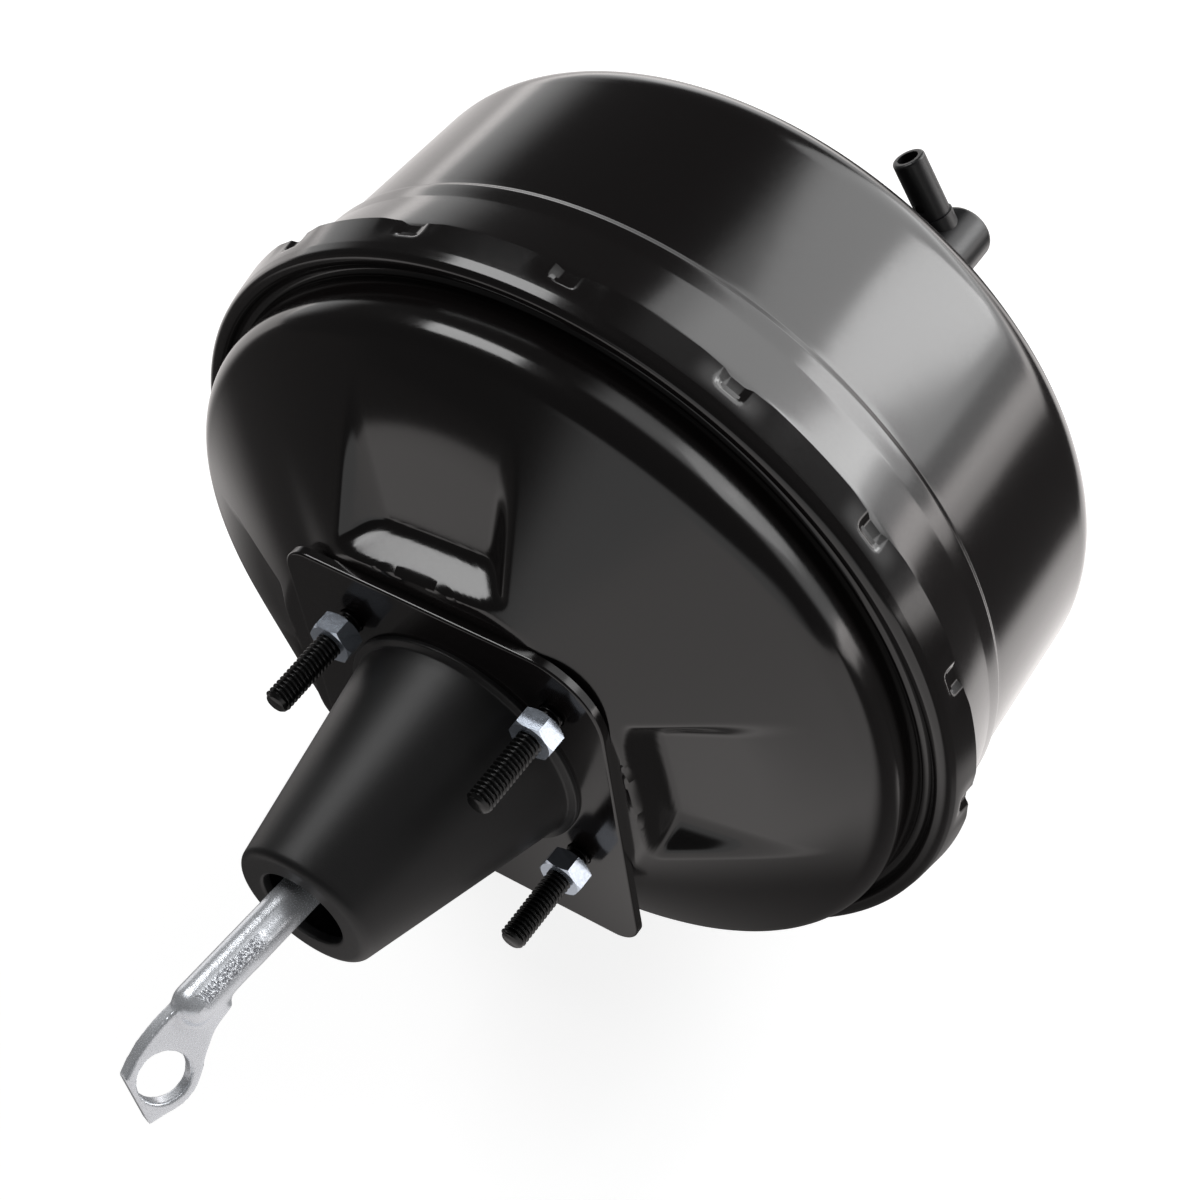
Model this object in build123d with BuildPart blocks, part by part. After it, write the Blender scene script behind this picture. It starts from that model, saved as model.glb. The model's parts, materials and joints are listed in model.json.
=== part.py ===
from build123d import *
import math
import os

os.makedirs("parts", exist_ok=True)

# Vacuum brake booster, in millimetres, +Z up. The booster's axis runs along +Y,
# from the pedal rod towards the master cylinder. The origin is the centre of the
# four firewall studs, just behind their nuts. Stations are measured along +Y from
# the mounting flange's outer face, and radii from the booster's axis.

# --- frame ---
FACE_Y = 11.0             # origin to the mounting flange's face
AXIS_X = -4.5             # booster axis, beside the stud pattern's centre
FIT = 0.05                # radial clearance of running fits
GAP = 0.1                 # clearance of pieces that seat on each other

# --- casing ---
SHEET = 1.8
FLANGE_T = 3.0            # boot flange, clamped between plateau and firewall
NECK_R = 28.0
NECK_OUT = 9.0
PLATEAU_R = 64.0
DOME_R = 123.4
DOME_RISE = 33.5
RIM_Y = 55.0
RIM_GROOVE = 4.2
RIM_CREST = 5.0
RIM_UP = 3.6
LIP_FLARE = 2.6
LIP_REACH = 9.2           # of the crimped lip, beyond the rim
BEAD_REACH = 34.4         # of the front shell's bead, beyond the rim
BEAD_STEP = 1.3
FRONT_STEP = 2.6          # front shell's radius over the rear shell's
FRONT_Y = 160.0
FRONT_CORNER = 14.0
FRONT_HOLE_R = 31.0
PAD_R = 60.0              # raised seat of the master cylinder
PAD_RISE = 1.5
PAD_SLOPE = 4.0
LANCES = 16
LANCE_R = 5.4
LANCE_DEPTH = 1.6
LANCE_PHASE = 15.5

# --- pockets of the rear shell ---
POCKETS = 4
POCKET_TURN = 4.5
POCKET_WALL = 61.3        # inner wall, from the axis
POCKET_DRAFT = 3.4
POCKET_DEPTH = 12.5       # at the inner wall, below the plateau
POCKET_FALL = 6.5         # further fall of the floor at the outer end
POCKET_REACH = 29.7       # from the inner wall to the outer end
POCKET_MOUTH = 30.0       # half widths
POCKET_FLOOR = 20.0
POCKET_END = 33.0
POCKET_FILLET = 3.0

# --- firewall studs, nuts and plates ---
STUD_R = 4.0
STUD_SPACING_X = 70.0
STUD_SPACING_Z = 66.0
STUD_OUT = 34.8
STUD_SHANK_R = 4.4
STUD_HEAD_R = 7.5
STUD_HEAD_T = 4.0
NUT_FLATS = 13.0
NUT_T = 6.5
NUT_OFF = 3.9
PLATE_T = 3.0
PLATE_INSET = 0.8         # of a reinforcing plate, inside its seat
HOLE_FIT = 0.05
MC_STUD_HALF = 43.0
MC_STUD_OUT = 24.0

# --- boot ---
BOOT_FLANGE_W = 108.0
BOOT_FLANGE_H = 124.0
BOOT_FLANGE_X = -2.0      # from the stud pattern's centre
BOOT_FLANGE_Z = -8.0
BOOT_CORNER = 9.0
BOOT_CORNER_BIG = 23.0
BOOT_LENGTH = 72.0
BOOT_BASE_R = 37.5
BOOT_FOOT = 2.5           # of the foot, beyond the cone
BOOT_FOOT_SHARE = 0.5     # of the mounting plate's thickness, clamped behind it
BOOT_END_R = 22.0
BOOT_WALL = 3.0
BOOT_HOLE_R = 13.7
BOOT_BASE_X = 4.0
BOOT_END_X = 1.0
BOOT_END_Z = 2.5
BOOT_EDGE = 3.0

# --- power piston ---
TAIL_R = 21.0
TAIL_END = 42.0           # behind the flange face
TAIL_BORE_R = 17.0
HUB_R = 24.0
HUB_FLANGE_R = 34.0
HUB_FLANGE_T = 4.5
HUB_LENGTH = 21.0         # beyond the hub's flange
PISTON_CLEAR = 1.3        # diaphragm to the pockets' inside
SEAT_Y = -3.0
PLUNGER_R = 8.95
PLUNGER_NOSE_R = 6.0
DISC_POCKET_R = 12.0
DISC_POCKET_DEPTH = 10.0
REACTION_T = 6.0
SUPPORT_T = 1.6
ROLL_WIDTH = 29.4         # between the support plate and the rear shell's wall
SUPPORT_LIP = 15.0
RUBBER = 1.8
ROLL_GAP = 4.9            # diaphragm's outer fold to the rear shell
BEAD_INSET = 2.2
STROKE = 32.0

# --- input rod ---
PIVOT_Y = 6.0
BALL_R = 6.0
NECK_ROD_R = 4.25
SHAFT_R = 6.0
ROD_STEP = 35.5
ROD_BEND = 117.7
ROD_LEAN_X = -0.0255
ROD_LEAN_Z = 0.0587
EYE_AXIS = Vector(0.876, -0.297, 0.380)
EYE_TOWARDS = Vector(-0.032, -0.822, -0.569)
EYE_REACH = 20.9
EYE_T = 5.0
EYE_HOLE_R = 7.6
EYE_R = 10.4
WASHER_R = 12.5
WASHER_T = 1.5

# --- valve group inside the tail ---
KEY_INSET = 3.0           # of the stop key, behind the hub's flange
KEY_T = 2.0
KEY_W = 13.0
GROOVE_T = 5.0
GROOVE_R = 5.0
POPPET_T = 2.0
POPPET_HOLE_R = 7.0
POPPET_FACE_R = 13.5
POPPET_LENGTH = 12.5
RETAINER_T = 2.5
RETAINER_HOLE_R = 8.5
FILTER_T = 3.5
SILENCER_T = 5.0
FILTER_HOLE_R = 12.0
END_RING_T = 1.8

# --- output side ---
OUTPUT_R = 5.5
OUTPUT_HEAD_T = 3.4
OUTPUT_BEYOND = 6.0
ADJUSTER_R = 5.0
ADJUSTER_SHANK_R = 3.0
ADJUSTER_LENGTH = 6.0
CLIP_T = 1.2
CUP_T = 1.4
CUP_R = 27.0
CUP_FLANGE_R = 34.0
CUP_DEPTH = 6.0
CUP_HOLE_R = 8.5

# --- springs ---
RETURN_WIRE = 4.0
RETURN_R = 31.0
RETURN_TURNS = 5
VALVE_WIRE = 1.1
VALVE_SPRING_R = 10.5
POPPET_WIRE = 0.9
POPPET_SPRING_R = 10.6
SMALL_TURNS = 3

# --- check valve ---
VALVE_ANGLE = 48.3
VALVE_INSET = 0.8         # grommet's edge to the front shell's round corner
GROMMET_HOLE_R = 11.0
GROMMET_LIP = 2.0
GROMMET_BORE_R = 8.0
VALVE_BODY_R = 9.0
VALVE_BODY_LENGTH = 23.5
VALVE_WALL = 2.0
HOSE_R = 4.9
HOSE_ROOT_R = 5.4
HOSE_ROOT = 12.0
HOSE_BORE_R = 3.2
HOSE_LENGTH = 31.5
HOSE_Y = 14.5             # tube centre above the grommet
HOSE_ANGLE = 116.0
PIP_R = 1.5
PIP_DEPTH = 0.9
CHECK_DISC_R = 5.4
CHECK_DISC_T = 2.0
CHECK_PORT_R = 3.6
CHECK_SPRING_R = 4.2
CHECK_WIRE = 0.7
CHECK_LIFT = 1.5

# --- shared stations and frames ---
SHELL_AXIS = Axis((AXIS_X, 0, 0), (0, 1, 0))
AXIAL = Plane(origin=(AXIS_X, FACE_Y, 0), x_dir=(1, 0, 0), z_dir=(0, 0, 1))
PLATEAU_Y = FLANGE_T
SHOULDER_Y = PLATEAU_Y + DOME_RISE
INNER_PLATEAU_Y = PLATEAU_Y + SHEET
RIM_R = DOME_R + RIM_GROOVE
CREST_R = RIM_R + RIM_CREST
LIP_R = CREST_R + LIP_FLARE
LIP_Y = RIM_Y + LIP_REACH
BEAD_Y = RIM_Y + BEAD_REACH
FRONT_R = DOME_R + FRONT_STEP
INNER_FRONT_Y = FRONT_Y - SHEET
PAD_Y = FRONT_Y + PAD_RISE
INNER_PAD_Y = PAD_Y - SHEET
POCKET_LOW_Y = PLATEAU_Y + POCKET_DEPTH + POCKET_FALL + SHEET
REAR_PLATE_R = POCKET_WALL - SHEET - PLATE_INSET
FRONT_PLATE_R = PAD_R - PLATE_INSET
NECK_BORE_R = NECK_R - SHEET
BOOT_FOOT_R = BOOT_BASE_R + BOOT_FOOT
BOOT_FOOT_Y = FLANGE_T * (1 - BOOT_FOOT_SHARE)
STUD_X = -AXIS_X          # stud pattern's centre, from the booster's axis
STUD_HOLE_R = STUD_SHANK_R + HOLE_FIT
DIAPHRAGM_Y = POCKET_LOW_Y + PISTON_CLEAR
HUB_FLANGE_Y = DIAPHRAGM_Y - GAP - HUB_FLANGE_T
HUB_END_Y = DIAPHRAGM_Y - GAP + HUB_LENGTH
DISC_POCKET_Y = HUB_END_Y - DISC_POCKET_DEPTH
KEY_Y = HUB_FLANGE_Y - KEY_INSET
SUPPORT_R = DOME_R - ROLL_WIDTH
DIAPHRAGM_OUT = DOME_R - ROLL_GAP
DIAPHRAGM_BEAD_R = RIM_R - BEAD_INSET
SUPPORT_Y = DIAPHRAGM_Y + RUBBER + GAP
SEAT_BEAD_Y = RIM_Y + SHEET + GAP
FRONT_LIP_Y = SEAT_BEAD_Y + 2.4
FRONT_WALL_R = LIP_R - 3.9
BEAD_R = FRONT_R + BEAD_STEP + 1.4
PLATE_FRONT_Y = INNER_PAD_Y - PLATE_T
CUP_Y = PLATE_FRONT_Y - CUP_T
VALVE_Y = FRONT_Y + GROMMET_LIP + 0.2
GROMMET_R = GROMMET_HOLE_R + 2.5
VALVE_FAR = FRONT_R - FRONT_CORNER - GROMMET_R - VALVE_INSET
VALVE_X = VALVE_FAR * math.cos(math.radians(VALVE_ANGLE))
VALVE_Z = VALVE_FAR * math.sin(math.radians(VALVE_ANGLE))
PIVOT = Vector(AXIS_X, FACE_Y + PIVOT_Y, 0)
ROD_DIR = Vector(ROD_LEAN_X, -1, ROD_LEAN_Z).normalized()
ROD_SIDE = (Vector(1, 0, 0) - ROD_DIR * ROD_DIR.X).normalized()
ROD_PLANE = Plane(origin=PIVOT, x_dir=ROD_SIDE, z_dir=ROD_SIDE.cross(ROD_DIR))
BEND = PIVOT + ROD_DIR * ROD_BEND
EYE_N = EYE_AXIS.normalized()
EYE_U = (EYE_TOWARDS - EYE_N * EYE_N.dot(EYE_TOWARDS)).normalized()
EYE = BEND + EYE_U * EYE_REACH
EYE_PLANE = Plane(origin=EYE, x_dir=EYE_U, z_dir=EYE_N)


def across(station):
    """Plane square to the axis at a station, looking from the pedal side."""
    return Plane(origin=(AXIS_X, FACE_Y + station, 0), x_dir=(1, 0, 0), z_dir=(0, -1, 0))


def ring(r_in, r_out, start, end, mode=Mode.ADD):
    """Plain ring about the axis between two stations."""
    with BuildSketch(AXIAL) as profile:
        with Locations(((r_in + r_out) / 2, (start + end) / 2)):
            Rectangle(r_out - r_in, end - start)
    revolve(profile.sketch, axis=SHELL_AXIS, mode=mode)


def lathe(points, mode=Mode.ADD):
    """Solid turned about the axis from (radius, station) points."""
    with BuildSketch(AXIAL) as profile:
        with BuildLine():
            Polyline(*points, close=True)
        make_face()
    revolve(profile.sketch, axis=SHELL_AXIS, mode=mode)


def pressing(points, radii, thickness, side):
    """Sheet of one thickness, turned about the axis along a filleted path."""
    with BuildSketch(AXIAL) as profile:
        with BuildLine():
            FilletPolyline(*points, radius=radii)
            offset(amount=thickness, side=side)
        make_face()
    revolve(profile.sketch, axis=SHELL_AXIS)


def posts(centres, radius, start, end, mode=Mode.ADD):
    """Round posts or holes along the axis, at (x, z) places from it."""
    with BuildSketch(across(end)) as circles:
        with Locations(*centres):
            Circle(radius)
    extrude(circles.sketch, amount=end - start, mode=mode)


def nut_blank(x, z, radius):
    """Turned blank that rounds off the corners of one firewall nut."""
    seat = Plane(origin=(AXIS_X + x, FACE_Y - NUT_OFF, z), x_dir=(1, 0, 0), z_dir=(0, 0, 1))
    with BuildSketch(seat) as profile:
        with BuildLine():
            Polyline(
                (0, 0),
                (radius - 1, 0),
                (radius, -0.6),
                (radius, 0.6 - NUT_T),
                (radius - 1, -NUT_T),
                (0, -NUT_T),
                close=True,
            )
        make_face()
    return revolve(profile.sketch, axis=Axis(seat.origin, (0, 1, 0)), mode=Mode.PRIVATE)


def coil(centre, radius, wire, rise, turns):
    """Open coil spring along +Y from a centre point."""
    with BuildLine() as path:
        Helix(rise / turns, rise, radius, center=centre, direction=(0, 1, 0))
    with BuildSketch(Plane(origin=path.line @ 0, z_dir=path.line % 0)) as section:
        Circle(wire / 2)
    sweep(section.sketch, path=path.line, is_frenet=True)


def pocket(turn, grow):
    """Tapered tool for one pocket, made larger by the sheet to give its wall."""
    top = -8.0
    wall = Vector(0, POCKET_WALL, PLATEAU_Y)
    wall_n = Vector(0, -POCKET_DEPTH, POCKET_DRAFT).normalized()
    side_top = Vector(POCKET_MOUTH, POCKET_WALL, PLATEAU_Y)
    side_low = Vector(POCKET_FLOOR, POCKET_WALL + POCKET_DRAFT, PLATEAU_Y + POCKET_DEPTH)
    deep = PLATEAU_Y + POCKET_DEPTH + POCKET_FALL
    side_end = Vector(POCKET_END, POCKET_WALL + POCKET_REACH, deep)
    side_n = (side_low - side_top).cross(side_end - side_top).normalized()
    side_n = side_n * math.copysign(1, side_n.X)
    floor_n = Vector(0, -POCKET_FALL, POCKET_REACH - POCKET_DRAFT).normalized()

    def reach(y, w):
        height = side_n.dot(side_top) + grow - side_n.Y * w - side_n.Z * y
        return height / side_n.X

    def start(y):
        return (wall_n.dot(wall) + grow - wall_n.Z * y) / wall_n.Y

    def floor(w):
        return (floor_n.dot(side_low) + grow - floor_n.Y * w) / floor_n.Z

    far = POCKET_WALL + 2 * POCKET_REACH
    low_w = start(PLATEAU_Y + POCKET_DEPTH + grow)
    stations = [(top, start(top)), (floor(low_w), low_w), (floor(far), far), (top, far)]
    near = [Vector(-reach(y, w), y, w) for y, w in stations]
    away = [Vector(reach(y, w), y, w) for y, w in stations]
    sides = [Face(Wire.make_polygon(near)), Face(Wire.make_polygon(away))]
    for i in range(4):
        j = (i + 1) % 4
        sides.append(Face(Wire.make_polygon([near[i], near[j], away[j], away[i]])))
    tool = Solid(Shell(sides))
    inner = [e for e in tool.edges() if e.center().Z < far - 1 and e.center().Y > top + 1]
    tool = tool.fillet(POCKET_FILLET + grow, inner)
    return Pos(AXIS_X, FACE_Y, 0) * Rot(0, turn, 0) * tool


STUD_PLACES = [
    (STUD_X + i * STUD_SPACING_X / 2, k * STUD_SPACING_Z / 2) for i in (-1, 1) for k in (-1, 1)
]
MC_PLACES = [(-MC_STUD_HALF, 0), (MC_STUD_HALF, 0)]
POCKET_TURNS = [-POCKET_TURN + 360 / POCKETS * i for i in range(POCKETS)]

# ---------------------------------------------------------------- rear shell
with BuildPart() as rear_shell:
    pressing(
        [
            (NECK_R, -NECK_OUT),
            (NECK_R, PLATEAU_Y),
            (PLATEAU_R, PLATEAU_Y),
            (DOME_R, SHOULDER_Y),
            (DOME_R, RIM_Y),
            (RIM_R, RIM_Y),
            (RIM_R + 0.4, RIM_Y - RIM_UP),
            (CREST_R, RIM_Y - RIM_UP),
            (CREST_R + 1.1, RIM_Y + 0.4),
            (LIP_R, LIP_Y),
        ],
        (1.0, 6.0, 10.0, 1.4, 1.0, 2.2, 2.6, 2.0),
        SHEET,
        Side.LEFT,
    )
    with BuildSketch(AXIAL, mode=Mode.PRIVATE) as dome_profile:
        with BuildLine():
            Polyline(
                (NECK_R, PLATEAU_Y),
                (PLATEAU_R, PLATEAU_Y),
                (DOME_R - SHEET, SHOULDER_Y),
                (DOME_R - SHEET, RIM_Y),
                (NECK_R, RIM_Y),
                close=True,
            )
        make_face()
    dome = revolve(dome_profile.sketch, axis=SHELL_AXIS, mode=Mode.PRIVATE)
    for turn in POCKET_TURNS:
        add(pocket(turn, SHEET) & dome)
    for turn in POCKET_TURNS:
        add(pocket(turn, 0), mode=Mode.SUBTRACT)
    posts(STUD_PLACES, STUD_HOLE_R, PLATEAU_Y - 1, INNER_PLATEAU_Y + 1, Mode.SUBTRACT)
    with BuildSketch(AXIAL, mode=Mode.PRIVATE) as skirt_profile:
        with Locations((LIP_R - 2, LIP_Y - 4)):
            Rectangle(2.6, 8)
    skirt = revolve(skirt_profile.sketch, axis=SHELL_AXIS, mode=Mode.PRIVATE)
    lance_centre = LIP_R - LANCE_DEPTH + LANCE_R
    lance_angles = [math.radians(LANCE_PHASE + 360 / LANCES * i) for i in range(LANCES)]
    lance_spots = [
        Pos(
            AXIS_X + lance_centre * math.cos(angle),
            FACE_Y + LIP_Y - 0.5,
            lance_centre * math.sin(angle),
        )
        for angle in lance_angles
    ]
    for spot in lance_spots:
        add(spot * Sphere(LANCE_R + SHEET, mode=Mode.PRIVATE) & skirt)
    with Locations(*lance_spots):
        Sphere(LANCE_R, mode=Mode.SUBTRACT)

# --------------------------------------------------------------- front shell
with BuildPart() as front_shell:
    pressing(
        [
            (FRONT_HOLE_R, PAD_Y),
            (PAD_R, PAD_Y),
            (PAD_R + PAD_SLOPE, FRONT_Y),
            (FRONT_R - 0.4, FRONT_Y),
            (FRONT_R + BEAD_STEP, BEAD_Y + 2.4),
            (BEAD_R, BEAD_Y),
            (BEAD_R + 0.3, BEAD_Y - 6),
            (FRONT_WALL_R, FRONT_LIP_Y + 8),
            (FRONT_WALL_R, FRONT_LIP_Y + SHEET),
            (LIP_R - SHEET - 0.3, FRONT_LIP_Y + SHEET),
        ],
        (2.0, 4.0, FRONT_CORNER, 1.2, 1.6, 8.0, 8.0, 0.4),
        SHEET,
        Side.LEFT,
    )
    posts([(VALVE_X, VALVE_Z)], GROMMET_HOLE_R, INNER_FRONT_Y - 1, FRONT_Y + 1, Mode.SUBTRACT)
    posts(MC_PLACES, STUD_HOLE_R, INNER_FRONT_Y - 1, PAD_Y + 1, Mode.SUBTRACT)

# -------------------------------------------------------- reinforcing plates
with BuildPart() as rear_plate:
    ring(NECK_R + 2, REAR_PLATE_R, INNER_PLATEAU_Y, INNER_PLATEAU_Y + PLATE_T)
    posts(STUD_PLACES, STUD_HOLE_R, INNER_PLATEAU_Y, INNER_PLATEAU_Y + PLATE_T, Mode.SUBTRACT)

with BuildPart() as front_plate:
    ring(FRONT_HOLE_R, FRONT_PLATE_R, PLATE_FRONT_Y, INNER_PAD_Y)
    posts(MC_PLACES, STUD_HOLE_R, PLATE_FRONT_Y, INNER_PAD_Y, Mode.SUBTRACT)

# ------------------------------------------------------------ studs and nuts
with BuildPart() as firewall_studs:
    nut_face = -NUT_OFF - NUT_T
    head_y = INNER_PLATEAU_Y + PLATE_T
    posts(STUD_PLACES, STUD_R, -STUD_OUT, nut_face - 0.3)
    posts(STUD_PLACES, STUD_R - 0.1, nut_face - 0.3, PLATEAU_Y)
    posts(STUD_PLACES, STUD_SHANK_R, PLATEAU_Y, head_y)
    posts(STUD_PLACES, STUD_HEAD_R, head_y, head_y + STUD_HEAD_T)
    tips = firewall_studs.edges().filter_by(GeomType.CIRCLE).group_by(Axis.Y)[0]
    chamfer(tips, 0.8)

with BuildPart() as firewall_nuts:
    nut_corner = NUT_FLATS / math.sqrt(3)
    with BuildSketch(across(-NUT_OFF)):
        with Locations(*STUD_PLACES):
            RegularPolygon(nut_corner, 6)
    extrude(amount=NUT_T)
    add(Part() + [nut_blank(x, z, nut_corner) for x, z in STUD_PLACES], mode=Mode.INTERSECT)
    posts(STUD_PLACES, STUD_R, -NUT_OFF - NUT_T - 1, -NUT_OFF + 1, Mode.SUBTRACT)

with BuildPart() as mc_studs:
    posts(MC_PLACES, STUD_R, PAD_Y, PAD_Y + MC_STUD_OUT)
    posts(MC_PLACES, STUD_SHANK_R, PLATE_FRONT_Y, PAD_Y)
    posts(MC_PLACES, STUD_HEAD_R, PLATE_FRONT_Y - STUD_HEAD_T, PLATE_FRONT_Y)
    tips = mc_studs.edges().filter_by(GeomType.CIRCLE).group_by(Axis.Y)[-1]
    chamfer(tips, 0.8)

# ---------------------------------------------------------------------- boot
with BuildPart() as mounting_plate:
    left = STUD_X + BOOT_FLANGE_X - BOOT_FLANGE_W / 2
    right = STUD_X + BOOT_FLANGE_X + BOOT_FLANGE_W / 2
    low = BOOT_FLANGE_Z - BOOT_FLANGE_H / 2
    high = BOOT_FLANGE_Z + BOOT_FLANGE_H / 2
    with BuildSketch(across(FLANGE_T)):
        with BuildLine():
            FilletPolyline(
                (left, low),
                (right, low),
                (right, high),
                (left, high),
                radius=(BOOT_CORNER, BOOT_CORNER, BOOT_CORNER_BIG, BOOT_CORNER),
                close=True,
            )
        make_face()
        with Locations((BOOT_BASE_X, 0)):
            Circle(BOOT_BASE_R + GAP, mode=Mode.SUBTRACT)
        with Locations(*STUD_PLACES):
            Circle(STUD_R + 0.2, mode=Mode.SUBTRACT)
    extrude(amount=FLANGE_T)
    posts([(BOOT_BASE_X, 0)], BOOT_FOOT_R + GAP, BOOT_FOOT_Y - GAP, FLANGE_T, Mode.SUBTRACT)
    outer = mounting_plate.faces().sort_by(Axis.Y)[0].outer_wire()
    fillet(outer.edges(), 0.8)

with BuildPart() as dust_boot:
    with BuildSketch(across(0)):
        with Locations((BOOT_BASE_X, 0)):
            Circle(BOOT_BASE_R)
    with BuildSketch(across(-BOOT_LENGTH)):
        with Locations((BOOT_END_X, BOOT_END_Z)):
            Circle(BOOT_END_R)
    loft()
    rims = dust_boot.edges().filter_by(GeomType.CIRCLE)
    fillet(rims.group_by(Axis.Y)[0], BOOT_EDGE)
    posts([(BOOT_BASE_X, 0)], BOOT_BASE_R, 0, FLANGE_T)
    posts([(BOOT_BASE_X, 0)], BOOT_FOOT_R, BOOT_FOOT_Y, FLANGE_T)
    posts([(BOOT_BASE_X, 0)], BOOT_BASE_R - BOOT_WALL, 0, FLANGE_T, Mode.SUBTRACT)
    with BuildSketch(across(0)):
        with Locations((BOOT_BASE_X, 0)):
            Circle(BOOT_BASE_R - BOOT_WALL)
    with BuildSketch(across(-BOOT_LENGTH + BOOT_WALL)):
        with Locations((BOOT_END_X, BOOT_END_Z)):
            Circle(BOOT_END_R - BOOT_WALL + 0.4)
    loft(mode=Mode.SUBTRACT)
    posts([(BOOT_END_X, BOOT_END_Z)], BOOT_HOLE_R, -BOOT_LENGTH - 1, -BOOT_LENGTH + 8, Mode.SUBTRACT)

# ------------------------------------------------------- seals of the casing
with BuildPart() as rear_seal:
    lathe(
        [
            (NECK_BORE_R, -NECK_OUT + 2.6),
            (NECK_BORE_R, -1.2),
            (TAIL_R + 1.6, -1.2),
            (TAIL_R + 1.6, -3.6),
            (TAIL_R + FIT, -4.0),
            (TAIL_R + FIT, -5.2),
            (TAIL_R + 1.8, -NECK_OUT + 2.6),
        ]
    )

with BuildPart() as guide_bush:
    ring(TAIL_R + FIT, NECK_BORE_R, -1.1, INNER_PLATEAU_Y + 2.5)

with BuildPart() as seal_retainer:
    ring(TAIL_R + 1.2, NECK_BORE_R, -NECK_OUT + 0.8, -NECK_OUT + 2.5)

with BuildPart() as seal_cup:
    pressing(
        [
            (CUP_HOLE_R, CUP_Y - CUP_DEPTH),
            (CUP_R, CUP_Y - CUP_DEPTH),
            (CUP_R, CUP_Y),
            (CUP_FLANGE_R, CUP_Y),
        ],
        (1.6, 0.5),
        CUP_T,
        Side.LEFT,
    )

with BuildPart() as front_seal:
    ring(OUTPUT_R + FIT, CUP_R - CUP_T - GAP, CUP_Y - CUP_DEPTH + CUP_T + GAP, CUP_Y + CUP_T)
    ring(OUTPUT_R + FIT, OUTPUT_R + 4, CUP_Y + CUP_T, PAD_Y - 1)

# ----------------------------------------------------------------- diaphragm
with BuildPart() as diaphragm:
    pressing(
        [
            (HUB_R + GAP, DIAPHRAGM_Y),
            (SUPPORT_R, DIAPHRAGM_Y),
            (SUPPORT_R + 7, DIAPHRAGM_Y + 8),
            (DIAPHRAGM_OUT - 7, RIM_Y - 10),
            (DIAPHRAGM_OUT, SEAT_BEAD_Y),
            (DIAPHRAGM_BEAD_R + 3.0, SEAT_BEAD_Y),
        ],
        (4.0, 6.0, 6.0, 2.0),
        RUBBER,
        Side.LEFT,
    )
    ring(DIAPHRAGM_BEAD_R, FRONT_WALL_R - SHEET - GAP, SEAT_BEAD_Y, FRONT_LIP_Y + 5)
    ring(DIAPHRAGM_BEAD_R, CREST_R - SHEET, SEAT_BEAD_Y, FRONT_LIP_Y - GAP)

with BuildPart() as support_plate:
    pressing(
        [
            (HUB_R + GAP, SUPPORT_Y),
            (SUPPORT_R - 1, SUPPORT_Y),
            (SUPPORT_R - 1, SUPPORT_Y + SUPPORT_LIP),
        ],
        (4.0,),
        SUPPORT_T,
        Side.LEFT,
    )

# -------------------------------------------------------------- power piston
with BuildPart() as valve_body:
    lathe(
        [
            (TAIL_BORE_R, -TAIL_END),
            (TAIL_R, -TAIL_END),
            (TAIL_R, HUB_FLANGE_Y - 4),
            (HUB_R, HUB_FLANGE_Y),
            (HUB_FLANGE_R, HUB_FLANGE_Y),
            (HUB_FLANGE_R, HUB_FLANGE_Y + HUB_FLANGE_T),
            (HUB_R, HUB_FLANGE_Y + HUB_FLANGE_T),
            (HUB_R, HUB_END_Y),
            (DISC_POCKET_R, HUB_END_Y),
            (DISC_POCKET_R, DISC_POCKET_Y),
            (PLUNGER_R + FIT, DISC_POCKET_Y),
            (PLUNGER_R + FIT, SEAT_Y),
            (TAIL_BORE_R, SEAT_Y),
        ]
    )
    with BuildSketch(across(KEY_Y + KEY_T + FIT)):
        with Locations((0, TAIL_R / 2 + 4)):
            Rectangle(KEY_W + 2 * FIT, TAIL_R + 8)
    extrude(amount=KEY_T + 2 * FIT, mode=Mode.SUBTRACT)

with BuildPart() as stop_key:
    with BuildSketch(across(KEY_Y + KEY_T)):
        with Locations((0, TAIL_R / 2 - 3)):
            Rectangle(KEY_W, TAIL_R + 5)
        with Locations((0, -PLUNGER_R)):
            Rectangle(2 * GROOVE_R + 0.6, 2 * PLUNGER_R, mode=Mode.SUBTRACT)
        Circle(GROOVE_R + 0.3, mode=Mode.SUBTRACT)
    extrude(amount=KEY_T)

with BuildPart() as reaction_disc:
    ring(0, DISC_POCKET_R - GAP, DISC_POCKET_Y, DISC_POCKET_Y + REACTION_T)
    fillet(reaction_disc.edges().filter_by(GeomType.CIRCLE), 0.6)

with BuildPart() as output_rod:
    head_y = DISC_POCKET_Y + REACTION_T
    tip_y = PAD_Y + OUTPUT_BEYOND
    lathe(
        [
            (0, head_y),
            (DISC_POCKET_R - GAP, head_y),
            (DISC_POCKET_R - GAP, head_y + OUTPUT_HEAD_T),
            (OUTPUT_R, head_y + OUTPUT_HEAD_T),
            (OUTPUT_R, tip_y),
            (ADJUSTER_SHANK_R, tip_y),
            (ADJUSTER_SHANK_R, tip_y - 10),
            (0, tip_y - 10),
        ]
    )

with BuildPart() as rod_adjuster:
    lathe(
        [
            (0, tip_y - 9),
            (ADJUSTER_SHANK_R, tip_y - 9),
            (ADJUSTER_SHANK_R, tip_y),
            (ADJUSTER_R, tip_y),
            (ADJUSTER_R, tip_y + ADJUSTER_LENGTH - 2),
            (ADJUSTER_R - 2, tip_y + ADJUSTER_LENGTH),
            (0, tip_y + ADJUSTER_LENGTH),
        ]
    )

with BuildPart() as output_clip:
    ring(OUTPUT_R + 1, HUB_R - 0.5, HUB_END_Y, HUB_END_Y + CLIP_T)

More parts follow.
